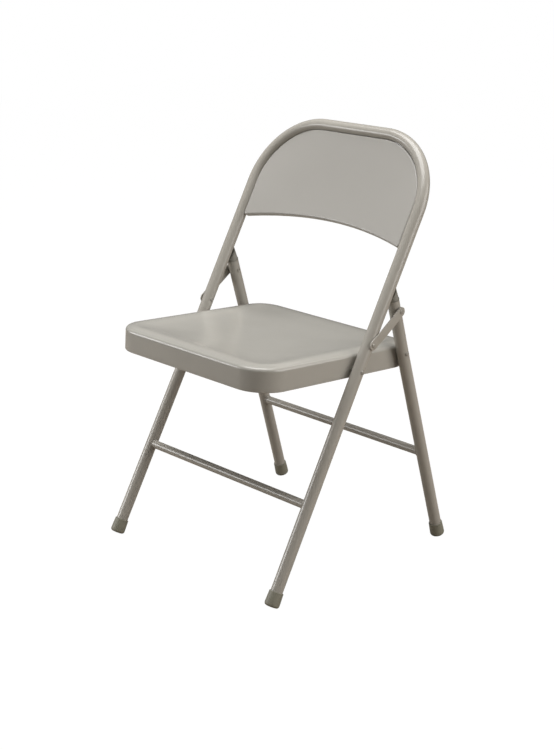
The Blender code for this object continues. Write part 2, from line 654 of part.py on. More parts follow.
def build():
    clear_scene()
    holes = pivot_hole_cutter()
    rail_cutter = cope_cutter("rail_cope_cutter", FRONT_FOOT, RAIL_TURN, RAIL_SPLAY)
    leg_cutter = cope_cutter("leg_cope_cutter", REAR_FOOT, LEG_TURN, LEG_SPLAY)

    front_frame(holes)
    back_panel()
    stretcher("front_stretcher", FRONT_STRETCHER_HEIGHT, FRONT_FOOT, RAIL_RAKE, RAIL_TURN, rail_cutter)

    seat_hinge = joint("seat_hinge", RAIL_PIVOT)
    link_hinge = joint("link_hinge", LINK_RAIL_PIVOT)
    leg_hinge = joint("leg_hinge", LINK_LEG_PIVOT)

    on_seat = [seat_pan(holes)]
    on_leg = [stretcher("rear_stretcher", REAR_STRETCHER_HEIGHT, REAR_FOOT, LEG_LEAN, LEG_TURN, leg_cutter)]
    on_link = []
    link_outside = LINK_FACE + LINK_SHEET
    for word, side in SIDES:
        foot_cap("front_foot_" + word, side, FRONT_FOOT, RAIL_RAKE, RAIL_TURN, RAIL_SPLAY)
        rivet("seat_rail_rivet_" + word, side, RAIL_PIVOT, SKIRT_FACE - SEAT_SHEET, RAIL_OUTSIDE)
        rivet("link_rail_rivet_" + word, side, LINK_RAIL_PIVOT, RAIL_INSIDE, LINK_EYE_FACE + LINK_SHEET)
        on_seat.append(spacer("seat_rail_spacer_" + word, side, RAIL_PIVOT, SKIRT_FACE, RAIL_INSIDE))
        on_seat.append(leg_rivet_tail("seat_leg_rivet_tail_" + word, side))
        on_leg.append(rear_leg("rear_leg_" + word, side, holes))
        on_leg.append(leg_top_cap("leg_top_cap_" + word, side))
        on_leg.append(foot_cap("rear_foot_" + word, side, REAR_FOOT, LEG_LEAN, LEG_TURN, LEG_SPLAY))
        on_leg.append(leg_rivet("seat_leg_rivet_" + word, side))
        on_leg.append(spacer("seat_leg_spacer_" + word, side, LEG_PIVOT, SKIRT_FACE, LEG_INSIDE))
        on_link.append(link("link_" + word, side, holes))
        on_link.append(rivet("link_leg_rivet_" + word, side, LINK_LEG_PIVOT, LEG_INSIDE, link_outside))
        on_link.append(spacer("link_leg_washer_" + word, side, LINK_LEG_PIVOT, LEG_OUTSIDE, LINK_FACE))

    hang_on(seat_hinge, on_seat)
    hang_on(link_hinge, on_link)
    hang_on(leg_hinge, on_leg)


build()
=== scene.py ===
# %% [markdown]
# # A folding chair of bent tube and pressed sheet
# The chair has four moving groups: the front frame with its back panel, the seat, the rear legs and the two
# side links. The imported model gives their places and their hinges. This lesson makes the surfaces that are
# seen: round tube, pressed sheet, strip, rivets and plastic ends, all in warm grey stove enamel. The packed
# model comes first, so that every later piece can be put straight on it in metres.

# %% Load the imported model
import json
import math

import bmesh
import bpy
from mathutils import Matrix, Vector


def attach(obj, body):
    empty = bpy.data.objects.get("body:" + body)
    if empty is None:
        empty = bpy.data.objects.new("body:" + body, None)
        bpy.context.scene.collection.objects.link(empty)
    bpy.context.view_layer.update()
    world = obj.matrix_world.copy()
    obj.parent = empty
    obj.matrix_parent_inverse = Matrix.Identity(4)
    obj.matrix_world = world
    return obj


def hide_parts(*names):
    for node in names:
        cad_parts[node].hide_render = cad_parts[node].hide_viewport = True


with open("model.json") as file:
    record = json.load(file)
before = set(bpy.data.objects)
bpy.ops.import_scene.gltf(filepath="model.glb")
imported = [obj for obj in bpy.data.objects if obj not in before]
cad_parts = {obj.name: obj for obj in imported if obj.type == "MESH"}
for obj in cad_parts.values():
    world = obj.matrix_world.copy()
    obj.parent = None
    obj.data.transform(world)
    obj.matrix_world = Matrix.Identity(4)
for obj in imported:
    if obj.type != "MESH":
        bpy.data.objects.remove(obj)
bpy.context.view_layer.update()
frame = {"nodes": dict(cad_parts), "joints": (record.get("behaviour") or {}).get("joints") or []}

hinges = {joint["name"]: Vector(joint["pos_m"]) for joint in frame["joints"]}
SIDES = (("left", 1), ("right", -1))

# %% [markdown]
# ## Where the tubes run
# Seen from the side, the front rail leans back and the rear leg leans forward. A piece is easiest to draw
# upright, along its own tube, and then laid into place with one matrix. The seat has a matrix of its own on
# its hinge. The alternative is to work out every point in the chair's own axes, which hides the simple
# shapes.

# %% Lay out the side view
RAIL_RAKE = math.radians(29.47)
LEG_LEAN = math.radians(16.22)
SEAT_TILT = math.radians(4.06)
FRONT_FOOT_Y = -0.2287
REAR_FOOT_Y = 0.22496
TUBE_RADIUS = 0.0111
RAIL_X = 0.2133
LEG_X = 0.2120
FOOT_X = 0.2173
LEG_PIVOT_BELOW_LINK = 0.0882
GAP = 0.0003

on_front = Matrix.Translation((0, FRONT_FOOT_Y, 0)) @ Matrix.Rotation(-RAIL_RAKE, 4, "X")
on_rear = Matrix.Translation((0, REAR_FOOT_Y, 0)) @ Matrix.Rotation(LEG_LEAN, 4, "X")
on_seat = Matrix.Translation(hinges["seat_fold"]) @ Matrix.Rotation(-SEAT_TILT, 4, "X")

RAIL_PIVOT_ALONG = (on_front.inverted() @ hinges["seat_fold"]).z
LINK_PIVOT_ALONG = (on_rear.inverted() @ hinges["leg_swing"]).z
LEG_PIVOT_ALONG = LINK_PIVOT_ALONG - LEG_PIVOT_BELOW_LINK
leg_pivot = on_rear @ Vector((0, 0, LEG_PIVOT_ALONG))
print("seat hinge", round(RAIL_PIVOT_ALONG * 1000), "mm up the rail")
print("leg hinge", round(LEG_PIVOT_ALONG * 1000), "mm up the leg")

# %% [markdown]
# ## Small tools for meshes
# Most pieces here are one of three things: a profile turned about an axis, a skin pressed over an outline,
# or a section run along a path. These helpers keep the later cells short. Every finished mesh holds its
# place in its own points, with its object at the origin, so that patterns in the paint stay put on the
# metal.

# %% Mesh tools
def arc(centre, radius, first, last, steps):
    """Points on a circle, from one angle to another in degrees."""
    turns = [math.radians(first + (last - first) * step / steps) for step in range(steps + 1)]
    return [(centre[0] + radius * math.cos(turn), centre[1] + radius * math.sin(turn)) for turn in turns]


def smooth_through(knots, steps):
    """A Catmull-Rom curve through some points, with the same number of steps in every span."""
    padded = [knots[0]] + list(knots) + [knots[-1]]
    points = []
    for a, b, c, d in zip(padded, padded[1:], padded[2:], padded[3:]):
        for step in range(steps):
            t = step / steps
            points.append(tuple(
                0.5 * (2 * q + (r - p) * t + (2 * p - 5 * q + 4 * r - s) * t ** 2
                       + (3 * q - p - 3 * r + s) * t ** 3)
                for p, q, r, s in zip(a, b, c, d)))
    return points + [tuple(knots[-1])]


def turned(profile, sides=64):
    """Turn an open (radius, height) profile, which starts and ends on the axis, about Z."""
    builder = bmesh.new()
    verts = [builder.verts.new((radius, 0, height)) for radius, height in profile]
    edges = [builder.edges.new(pair) for pair in zip(verts, verts[1:])]
    bmesh.ops.spin(builder, geom=verts + edges, cent=(0, 0, 0), axis=(0, 0, 1), angle=math.tau, steps=sides)
    bmesh.ops.remove_doubles(builder, verts=builder.verts, dist=1e-6)
    bmesh.ops.recalc_face_normals(builder, faces=builder.faces)
    return builder


def saw_off(builder, point, normal):
    """Cut away what lies on the normal's side of a plane and close the face."""
    everything = list(builder.verts) + list(builder.edges) + list(builder.faces)
    sawn = bmesh.ops.bisect_plane(
        builder, geom=everything, dist=1e-7, plane_co=point, plane_no=normal, clear_outer=True)
    cut_edges = [part for part in sawn["geom_cut"] if isinstance(part, bmesh.types.BMEdge)]
    bmesh.ops.edgeloop_fill(builder, edges=cut_edges)
    bmesh.ops.recalc_face_normals(builder, faces=builder.faces)


def mesh_from(builder, name, sharp=35):
    """Turn a filled builder into a mesh that is smooth except at edges sharper than an angle in degrees."""
    mesh = bpy.data.meshes.new(name)
    builder.to_mesh(mesh)
    builder.free()
    mesh.shade_smooth()
    mesh.set_sharp_from_angle(angle=math.radians(sharp))
    return mesh


def as_plain_mesh(item):
    """The mesh that an object's modifiers make. The object itself is removed."""
    bpy.context.view_layer.update()
    made = bpy.data.meshes.new_from_object(item.evaluated_get(bpy.context.evaluated_depsgraph_get()))
    bpy.data.objects.remove(item)
    return made


def add_tree(item, tree, values):
    """Put a Geometry Nodes tree on an object. Each input is set by its socket's identifier."""
    modifier = item.modifiers.new(tree.name, "NODES")
    modifier.node_group = tree
    for socket in tree.interface.items_tree:
        if socket.item_type == "SOCKET" and socket.in_out == "INPUT" and socket.name in values:
            modifier[socket.identifier] = values[socket.name]


def add_piece(name, mesh, finish, body, stands_for=()):
    """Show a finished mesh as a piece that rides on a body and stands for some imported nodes."""
    piece = bpy.data.objects.new(name, mesh)
    bpy.context.scene.collection.objects.link(piece)
    mesh.materials.clear()
    mesh.materials.append(finish)
    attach(piece, body)
    if stands_for:
        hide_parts(*stands_for)
    print(f"{name}: {len(mesh.polygons)} faces on {body}")
    return piece


# %% [markdown]
# ## Effects that the finishes share
# Sprayed and stoved enamel is never one flat value. It drifts a little in tone, it has the fine ripple
# called orange peel, and hands leave duller patches. Each effect is a node group with named inputs, built
# once. The groups give out only colours, masks and heights, and the shaders themselves stay in the
# materials.

# %% Build the shared shader groups
def shader_group(name, inputs, outputs):
    """An empty group with (label, socket type, default) inputs and (label, socket type) outputs."""
    group = bpy.data.node_groups.new(name, "ShaderNodeTree")
    for label, kind, default in inputs:
        socket = group.interface.new_socket(name=label, in_out="INPUT", socket_type=kind)
        socket.default_value = default
    for label, kind in outputs:
        group.interface.new_socket(name=label, in_out="OUTPUT", socket_type=kind)
    return group, group.nodes.new("NodeGroupInput"), group.nodes.new("NodeGroupOutput")


def noise_in(group, scale_from, detail, roughness):
    """A noise texture on Object coordinates, its scale taken from a socket."""
    place = group.nodes.new("ShaderNodeTexCoord")
    noise = group.nodes.new("ShaderNodeTexNoise")
    noise.inputs["Detail"].default_value = detail
    noise.inputs["Roughness"].default_value = roughness
    group.links.new(place.outputs["Object"], noise.inputs["Vector"])
    group.links.new(scale_from, noise.inputs["Scale"])
    return noise


def range_in(group, value, low, high, to_low, to_high):
    """Map a value from one range to another. The last two may be numbers or sockets."""
    node = group.nodes.new("ShaderNodeMapRange")
    group.links.new(value, node.inputs["Value"])
    node.inputs["From Min"].default_value = low
    node.inputs["From Max"].default_value = high
    for label, wanted in (("To Min", to_low), ("To Max", to_high)):
        if isinstance(wanted, (int, float)):
            node.inputs[label].default_value = wanted
        else:
            group.links.new(wanted, node.inputs[label])
    return node.outputs["Result"]


NUMBER = "NodeSocketFloat"
COLOUR = "NodeSocketColor"

tone_drift, given, gives = shader_group(
    "tone drift", [("Colour", COLOUR, (0.4, 0.4, 0.4, 1)), ("Drifted Colour", COLOUR, (0.4, 0.4, 0.4, 1)),
                   ("Patch Scale", NUMBER, 9.0)], [("Colour", COLOUR)])
patches = noise_in(tone_drift, given.outputs["Patch Scale"], 3.0, 0.55)
blend = tone_drift.nodes.new("ShaderNodeMix")
blend.data_type = "RGBA"
tone_drift.links.new(range_in(tone_drift, patches.outputs["Fac"], 0.3, 0.7, 0.0, 1.0), blend.inputs["Factor"])
tone_drift.links.new(given.outputs["Colour"], blend.inputs["A"])
tone_drift.links.new(given.outputs["Drifted Colour"], blend.inputs["B"])
tone_drift.links.new(blend.outputs["Result"], gives.inputs["Colour"])

spray_ripple, given, gives = shader_group(
    "spray ripple",
    [("Fine Scale", NUMBER, 150.0), ("Broad Scale", NUMBER, 20.0), ("Broad Share", NUMBER, 0.5)],
    [("Height", NUMBER)])
fine = noise_in(spray_ripple, given.outputs["Fine Scale"], 1.0, 0.4)
broad = noise_in(spray_ripple, given.outputs["Broad Scale"], 1.0, 0.4)
weight = spray_ripple.nodes.new("ShaderNodeMath")
weight.operation = "MULTIPLY_ADD"
spray_ripple.links.new(broad.outputs["Fac"], weight.inputs[0])
spray_ripple.links.new(given.outputs["Broad Share"], weight.inputs[1])
spray_ripple.links.new(fine.outputs["Fac"], weight.inputs[2])
spray_ripple.links.new(weight.outputs["Value"], gives.inputs["Height"])

handled, given, gives = shader_group(
    "handled gloss", [("Glossiest", NUMBER, 0.25), ("Dullest", NUMBER, 0.4), ("Patch Scale", NUMBER, 14.0)],
    [("Roughness", NUMBER)])
smears = noise_in(handled, given.outputs["Patch Scale"], 5.0, 0.65)
gloss = range_in(
    handled, smears.outputs["Fac"], 0.3, 0.7, given.outputs["Glossiest"], given.outputs["Dullest"])
handled.links.new(gloss, gives.inputs["Roughness"])

rubbed, given, gives = shader_group(
    "rubbed through", [("Spot Scale", NUMBER, 300.0), ("Bare Share", NUMBER, 0.4)], [("Mask", NUMBER)])
spots = noise_in(rubbed, given.outputs["Spot Scale"], 4.0, 0.6)
cover = range_in(rubbed, spots.outputs["Fac"], 0.45, 0.6, 0.0, given.outputs["Bare Share"])
rubbed.links.new(cover, gives.inputs["Mask"])
print("shader groups:", ", ".join(group.name for group in (tone_drift, spray_ripple, handled, rubbed)))

# %% [markdown]
# ## The finishes
# Tube, seat and back wear the same warm grey enamel. They are three materials, because the seat looks a
# little glossier and the back a little duller. Their base colours also differ a little: the tube's is darker
# and warmer and the back's cooler, which is painted shade and bounce light on one paint. Feet and leg caps
# are moulded plastic with a matt grain. Rivets are painted steel with bare metal showing in spots. The ripple
# in the enamel stays very shallow, so that the long highlights on the tubes stay in one line as far as they
# can.

# %% Mix the finishes
def placed_group(made, group, values):
    """Put a shared group into a material, with its own values."""
    node = made.node_tree.nodes.new("ShaderNodeGroup")
    node.node_tree = group
    for label, value in values.items():
        node.inputs[label].default_value = value
    return node


def coat_of(name, colour, drifted, gloss, ripple, depth, patch_scale=9.0):
    """A paint or plastic: a drifting colour, a gloss range and a ripple that feeds the bump."""
    made = bpy.data.materials.new(name)
    made.use_nodes = True
    nodes, links = made.node_tree.nodes, made.node_tree.links
    shader = nodes["Principled BSDF"]
    tone = placed_group(made, tone_drift, {
        "Colour": (*colour, 1), "Drifted Colour": (*drifted, 1), "Patch Scale": patch_scale})
    dull = placed_group(made, handled, {"Glossiest": gloss[0], "Dullest": gloss[1]})
    skin = placed_group(made, spray_ripple, {
        "Fine Scale": ripple[0], "Broad Scale": ripple[1], "Broad Share": ripple[2]})
    bump = nodes.new("ShaderNodeBump")
    bump.inputs["Strength"].default_value = 1.0
    bump.inputs["Distance"].default_value = depth
    links.new(tone.outputs["Colour"], shader.inputs["Base Color"])
    links.new(dull.outputs["Roughness"], shader.inputs["Roughness"])
    links.new(skin.outputs["Height"], bump.inputs["Height"])
    links.new(bump.outputs["Normal"], shader.inputs["Normal"])
    return made


# One paint in three tones: the darker, warmer tube colour and the cooler back colour are painted shade and
# bounce light.
tube_enamel = coat_of(
    "tube enamel", (0.350, 0.330, 0.292), (0.364, 0.344, 0.305), (0.21, 0.27), (150, 20, 0.5), 0.000006)
sheet_enamel = coat_of(
    "sheet enamel", (0.361, 0.347, 0.320), (0.370, 0.356, 0.330), (0.28, 0.34), (150, 24, 0.5), 0.00001)
seat_enamel = coat_of(
    "seat enamel", (0.368, 0.354, 0.319), (0.382, 0.368, 0.333), (0.18, 0.24), (150, 24, 0.5), 0.00001)
foot_plastic = coat_of(
    "foot plastic", (0.196, 0.190, 0.146), (0.222, 0.214, 0.168), (0.42, 0.55), (420, 60, 0.5), 0.00004, 40.0)
cap_plastic = coat_of(
    "cap plastic", (0.200, 0.192, 0.165), (0.225, 0.215, 0.185), (0.42, 0.55), (420, 60, 0.5), 0.00004, 40.0)

rivet_steel = coat_of(
    "rivet steel", (0.26, 0.245, 0.215), (0.30, 0.285, 0.25), (0.30, 0.42), (420, 90, 0.5), 0.00003, 60.0)
worn = placed_group(rivet_steel, rubbed, {})
rivet_steel.node_tree.links.new(
    worn.outputs["Mask"], rivet_steel.node_tree.nodes["Principled BSDF"].inputs["Metallic"])
print("finishes:", tube_enamel.name, sheet_enamel.name, seat_enamel.name, foot_plastic.name, cap_plastic.name)

# %% [markdown]
# ## Tubes with Geometry Nodes
# The frame, the legs and the stretchers are all one idea: a round section run along a path. A node tree
# says that once, with named inputs for the radius and the number of sides. A plain curve with a bevel would
# do the same, but the tree ends in a real mesh and can be used again for the welds with a ripple added. The
# path is given as a string of points, joined by edges.

# %% Build the tube tree
def geometry_tree(name, inputs):
    """An empty modifier tree with Geometry in and out, and named inputs."""
    tree = bpy.data.node_groups.new(name, "GeometryNodeTree")
    tree.interface.new_socket(name="Geometry", in_out="INPUT", socket_type="NodeSocketGeometry")
    for label, kind, default in inputs:
        socket = tree.interface.new_socket(name=label, in_out="INPUT", socket_type=kind)
        if default is not None:
            socket.default_value = default
    tree.interface.new_socket(name="Geometry", in_out="OUTPUT", socket_type="NodeSocketGeometry")
    return tree, tree.nodes.new("NodeGroupInput"), tree.nodes.new("NodeGroupOutput")


def end_tree(tree, geometry, given, gives):
    """Every tree ends the same way: smooth faces, real geometry and a material."""
    smooth = tree.nodes.new("GeometryNodeSetShadeSmooth")
    real = tree.nodes.new("GeometryNodeRealizeInstances")
    paint = tree.nodes.new("GeometryNodeSetMaterial")
    tree.links.new(geometry, smooth.inputs["Geometry"])
    tree.links.new(smooth.outputs["Geometry"], real.inputs["Geometry"])
    tree.links.new(real.outputs["Geometry"], paint.inputs["Geometry"])
    tree.links.new(given.outputs["Finish"], paint.inputs["Material"])
    tree.links.new(paint.outputs["Geometry"], gives.inputs["Geometry"])


def round_along_path(tree, given):
    """The part that tubes and welds share: points to a curve, then a circle run along it."""
    path = tree.nodes.new("GeometryNodeMeshToCurve")
    circle = tree.nodes.new("GeometryNodeCurvePrimitiveCircle")
    run = tree.nodes.new("GeometryNodeCurveToMesh")
    run.inputs["Fill Caps"].default_value = True
    tree.links.new(given.outputs["Geometry"], path.inputs["Mesh"])
    tree.links.new(given.outputs["Radius"], circle.inputs["Radius"])
    tree.links.new(given.outputs["Sides"], circle.inputs["Resolution"])
    tree.links.new(path.outputs["Curve"], run.inputs["Curve"])
    tree.links.new(circle.outputs["Curve"], run.inputs["Profile Curve"])
    return run.outputs["Mesh"]


SECTION_INPUTS = [
    ("Radius", NUMBER, 0.01), ("Sides", "NodeSocketInt", 48), ("Finish", "NodeSocketMaterial", None)]
tube_tree, given, gives = geometry_tree("tube along path", SECTION_INPUTS)
end_tree(tube_tree, round_along_path(tube_tree, given), given, gives)


def grown(paths, tree, values, place, name, closed=False):
    """Run a tree over some paths and return its plain mesh, laid into place."""
    mesh = bpy.data.meshes.new(name)
    points = [point for path in paths for point in path]
    edges = []
    first = 0
    for path in paths:
        edges += [(first + step, first + step + 1) for step in range(len(path) - 1)]
        if closed:
            edges.append((first + len(path) - 1, first))
        first += len(path)
    mesh.from_pydata(points, edges, [])
    item = bpy.data.objects.new(name, mesh)
    bpy.context.scene.collection.objects.link(item)
    add_tree(item, tree, values)
    made = as_plain_mesh(item)
    made.name = name
    made.transform(place)
    return made


# %% [markdown]
# ## The front frame
# One length of tube makes both front legs and the bow round the back panel. Below the seat hinge each rail
# is sprung outward a few millimetres, so that the chair stands wider than the seat. The path is drawn
# upright: up one rail, round two bends, and down the other. Steps are close in the bends and long on the
# straights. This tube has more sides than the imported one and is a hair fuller, so a small trim keeps it
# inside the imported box.

# %% Run the front frame
FRAME_HEIGHT = 0.767
FINE_TRIM = 0.0001
BOW_TOP = FRAME_HEIGHT / math.cos(RAIL_RAKE) - FINE_TRIM
BOW_RADIUS = 0.134
FRONT_TUBE_END = 0.0096
REAR_TUBE_END = 0.0067


def rail_x(along):
    """How far a rail's axis is from the middle at a distance up from the floor."""
    return FOOT_X + (RAIL_X - FOOT_X) * min(along / RAIL_PIVOT_ALONG, 1)


def leg_x(along):
    """The same for a rear leg."""
    return FOOT_X + (LEG_X - FOOT_X) * min(along / LEG_PIVOT_ALONG, 1)


def straight(x_at, low, high, step=0.03):
    """Points up a tube, with one just at the place where it changes direction."""
    count = max(2, round((high - low) / step))
    places = [low + (high - low) * n / count for n in range(count + 1)]
    return [(x_at(place), 0, place) for place in places]


corner = RAIL_X - BOW_RADIUS
side_path = straight(rail_x, FRONT_TUBE_END, RAIL_PIVOT_ALONG)
side_path += straight(rail_x, RAIL_PIVOT_ALONG, BOW_TOP - BOW_RADIUS)[1:]
side_path += [(x, 0, z) for x, z in arc((corner, BOW_TOP - BOW_RADIUS), BOW_RADIUS, 0, 90, 40)[1:]]
bow_path = side_path + [(-x, y, z) for x, y, z in reversed(side_path)]
full_tube = {"Radius": TUBE_RADIUS, "Sides": 56, "Finish": tube_enamel}
frame_mesh = grown([bow_path], tube_tree, full_tube, on_front, "bent_frame_tube")
add_piece("bent_frame_tube", frame_mesh, tube_enamel, "front_frame_body", ["front_frame"])

# %% [markdown]
# ## The rear legs
# Each rear leg is a straight tube, also sprung outward below its hinge on the seat. It stops short of the
# rail, and a plastic cap fills the space between them.

# %% Run the rear legs
LEG_TUBE_TOP = 0.5200
LEG_NODES = ["rear_leg_left", "rear_leg_right"]
leg_path = straight(leg_x, REAR_TUBE_END, LEG_PIVOT_ALONG)
leg_path += straight(leg_x, LEG_PIVOT_ALONG, LEG_TUBE_TOP)[1:]
leg_paths = [leg_path, [(-x, y, z) for x, y, z in leg_path]]
legs_mesh = grown(leg_paths, tube_tree, full_tube, on_rear, "rear_leg_tubes")
add_piece("rear_leg_tubes", legs_mesh, tube_enamel, "rear_legs_body", LEG_NODES)

# %% [markdown]
# ## The stretchers and their welds
# A thinner tube joins each pair of legs. Its ends are shaped to the legs and welded all round. The weld is
# a small rippled bead that follows the saddle where the two tubes meet, so its path is worked out from the
# two radii. The bead tree is the tube tree with one more step, which pushes its points in and out with
# noise.

# %% Run the stretchers
STRETCHER_RADIUS = 0.00795
FRONT_STRETCHER_HEIGHT = 0.1666
REAR_STRETCHER_HEIGHT = 0.1855
STRETCHER_STEPS = 8
thin_tube = {"Radius": STRETCHER_RADIUS, "Sides": 40, "Finish": tube_enamel}
front_level = FRONT_STRETCHER_HEIGHT / math.cos(RAIL_RAKE)
rear_level = REAR_STRETCHER_HEIGHT / math.cos(LEG_LEAN)
for name, level, x_at, place, body, node in (
        ("front_cross_tube", front_level, rail_x, on_front, "front_frame_body", "front_stretcher"),
        ("rear_cross_tube", rear_level, leg_x, on_rear, "rear_legs_body", "rear_stretcher")):
    half = x_at(level) - TUBE_RADIUS * 0.6
    steps = range(-STRETCHER_STEPS, STRETCHER_STEPS + 1)
    path = [(half * step / STRETCHER_STEPS, 0, level) for step in steps]
    cross_mesh = grown([path], tube_tree, thin_tube, place, name)
    add_piece(name, cross_mesh, tube_enamel, body, [node])

# %% Lay the weld beads
bead_tree, given, gives = geometry_tree("weld bead", SECTION_INPUTS + [
    ("Ripple", NUMBER, 0.0004), ("Ripple Scale", NUMBER, 300.0), ("Seed", NUMBER, 4.0)])
bead = round_along_path(bead_tree, given)
wave = bead_tree.nodes.new("ShaderNodeTexNoise")
wave.noise_dimensions = "4D"
bead_tree.links.new(given.outputs["Ripple Scale"], wave.inputs["Scale"])
bead_tree.links.new(given.outputs["Seed"], wave.inputs["W"])
push = range_in(bead_tree, wave.outputs["Fac"], 0.3, 0.7, 0.0, given.outputs["Ripple"])
outward = bead_tree.nodes.new("ShaderNodeVectorMath")
outward.operation = "SCALE"
facing = bead_tree.nodes.new("GeometryNodeInputNormal")
bead_tree.links.new(facing.outputs["Normal"], outward.inputs["Vector"])
bead_tree.links.new(push, outward.inputs["Scale"])
moved = bead_tree.nodes.new("GeometryNodeSetPosition")
bead_tree.links.new(bead, moved.inputs["Geometry"])
bead_tree.links.new(outward.outputs["Vector"], moved.inputs["Offset"])
end_tree(bead_tree, moved.outputs["Geometry"], given, gives)

BEAD_RADIUS = 0.0011
SADDLE_POINTS = 40
round_bead = {"Radius": BEAD_RADIUS, "Sides": 10, "Finish": tube_enamel}


def saddle(level, x_at, side):
    """The closed line where a stretcher meets the inner side of its leg."""
    points = []
    for step in range(SADDLE_POINTS):
        turn = math.tau * step / SADDLE_POINTS
        depth = STRETCHER_RADIUS * math.sin(turn)
        reach = math.sqrt(TUBE_RADIUS ** 2 - depth ** 2)
        points.append((side * (x_at(level) - reach), depth, level + STRETCHER_RADIUS * math.cos(turn)))
    return points


for name, level, x_at, place, body in (
        ("front_welds", front_level, rail_x, on_front, "front_frame_body"),
        ("rear_welds", rear_level, leg_x, on_rear, "rear_legs_body")):
    loops = [saddle(level, x_at, side) for _, side in SIDES]
    weld_mesh = grown(loops, bead_tree, round_bead, place, name, closed=True)
    add_piece(name, weld_mesh, tube_enamel, body)

# %% [markdown]
# ## Pressed sheet
# The seat and the back are flat sheet, pressed over a form. Both can be described by rings: the outline is
# moved inward step by step while its height changes, first round the turned edge and then over the broad
# face. That keeps the mesh lines parallel to the edge, where all the bending is. A grid with a displacement
# would need far more faces to hold the same crisp edge. Solidify then gives the skin its metal.

# %% Press a skin over an outline
def inward_normals(outline):
    """Unit normals into an outline that runs anticlockwise."""
    normals = []
    for before, after in zip(outline[-1:] + outline[:-1], outline[1:] + outline[:1]):
        along = Vector((after[0] - before[0], after[1] - before[1])).normalized()
        normals.append((-along.y, along.x))
    return normals


def pressed_skin(outline, section, field, middle, shape):
    """A skin from its free edge inward: rings of (inset, height), then (scale, height) about the middle."""
    builder = bmesh.new()
    normals = inward_normals(outline)
    rings = [[(p[0] + n[0] * inset, p[1] + n[1] * inset, height) for p, n in zip(outline, normals)]
             for inset, height in section]
    last = rings[-1]
    x, y = middle
    rings += [[(x + (p[0] - x) * scale, y + (p[1] - y) * scale, height) for p in last]
              for scale, height in field]
    rows = [[builder.verts.new(shape(*point)) for point in ring] for ring in rings]
    count = len(outline)
    for lower, upper in zip(rows, rows[1:]):
        for index in range(count):
            after = (index + 1) % count
            builder.faces.new((lower[index], lower[after], upper[after], upper[index]))
    hub = builder.verts.new(shape(x, y, field[-1][1]))
    for index, vertex in enumerate(rows[-1]):
        builder.faces.new((vertex, rows[-1][(index + 1) % count], hub))
    return builder


def between(start, end, count):
    """Points strictly between two others."""
    shares = [step / count for step in range(1, count)]
    return [(start[0] + (end[0] - start[0]) * t, start[1] + (end[1] - start[1]) * t) for t in shares]


def give_metal(piece, thickness):
    """Thicken a skin inward, so that its outer face stays where it was drawn."""
    wall = piece.modifiers.new("sheet", "SOLIDIFY")
    wall.thickness = thickness
    wall.offset = -1.0


# %% [markdown]
# ## The seat pan
# The pan has a skirt all round with its lower lip turned in, a tight edge, a soft raised rim and a shallow
# dish. The rim is what catches the light in a second, softer line behind the bright edge. Its section goes
# through a few knots with a smooth curve, because straight facets would show at once in the gloss.

# %% Press the seat
SEAT_HALF = 0.1995
SEAT_FRONT = -0.2238
REAR_OVERHANG = 0.043
seat_rearward = Vector((0, math.cos(SEAT_TILT), -math.sin(SEAT_TILT)))
SEAT_REAR = (leg_pivot - hinges["seat_fold"]).dot(seat_rearward) + REAR_OVERHANG
FRONT_CORNER = 0.058
REAR_CORNER = 0.047
SKIRT = 0.036
EDGE = 0.007
LIP = 0.005
LIP_ROLL = 0.0018
HINGE_ABOVE_LIP = 0.0140
SEAT_SHEET = 0.0012


def seat_outline():
    """The pan from above, anticlockwise from the start of its front left corner."""
    half, front, rear, fore, aft = SEAT_HALF, SEAT_FRONT, SEAT_REAR, FRONT_CORNER, REAR_CORNER
    points = arc((half - fore, front + fore), fore, -90, 0, 24)
    points += between((half, front + fore), (half, rear - aft), 24)
    points += arc((half - aft, rear - aft), aft, 0, 90, 20)
    points += between((half - aft, rear), (aft - half, rear), 20)
    points += arc((aft - half, rear - aft), aft, 90, 180, 20)
    points += between((-half, rear - aft), (-half, front + fore), 24)
    points += arc((fore - half, front + fore), fore, 180, 270, 24)
    points += between((fore - half, front), (half - fore, front), 20)
    return points


top = SKIRT + EDGE
section = [(LIP, 0.0)] + [(LIP_ROLL + x, LIP_ROLL + z) for x, z in arc((0, 0), LIP_ROLL, 270, 180, 5)]
section += between((0, LIP_ROLL), (0, SKIRT), 5)
section += [(EDGE + x, SKIRT + z) for x, z in arc((0, 0), EDGE, 180, 95, 12)]
rim = smooth_through([
    (0.0078, top + 0.00012), (0.014, top + 0.0019), (0.021, top + 0.0026), (0.0295, top + 0.0018)], 7)
field = smooth_through([
    (0.985, top + 0.0013), (0.95, top + 0.0001), (0.90, top - 0.0012), (0.84, top - 0.0022),
    (0.76, top - 0.0031), (0.66, top - 0.0038), (0.54, top - 0.0043), (0.40, top - 0.0045),
    (0.25, top - 0.0045), (0.10, top - 0.0045)], 3)


def on_pan(across, along, height):
    """The section's heights start at the lip, and the pan's own axes at its hinge."""
    return Vector((across, along, height - HINGE_ABOVE_LIP))


seat_middle = (0.0, (SEAT_FRONT + SEAT_REAR) / 2)
seat_skin = pressed_skin(seat_outline(), section + rim, field, seat_middle, on_pan)
seat_mesh = mesh_from(seat_skin, "pressed_seat", 60)
seat_mesh.transform(on_seat)
seat = add_piece("pressed_seat", seat_mesh, seat_enamel, "seat_body", ["seat_pan"])
give_metal(seat, SEAT_SHEET)

# %% [markdown]
# ## The back panel
# The panel sits inside the bow with its edge turned back against the tube. It is flat along the top and
# hollow towards its arched lower edge, where it meets the sitter. Hollow and arch both follow simple
# squares of the place on the sheet, so the skin is drawn flat and bent by one function.

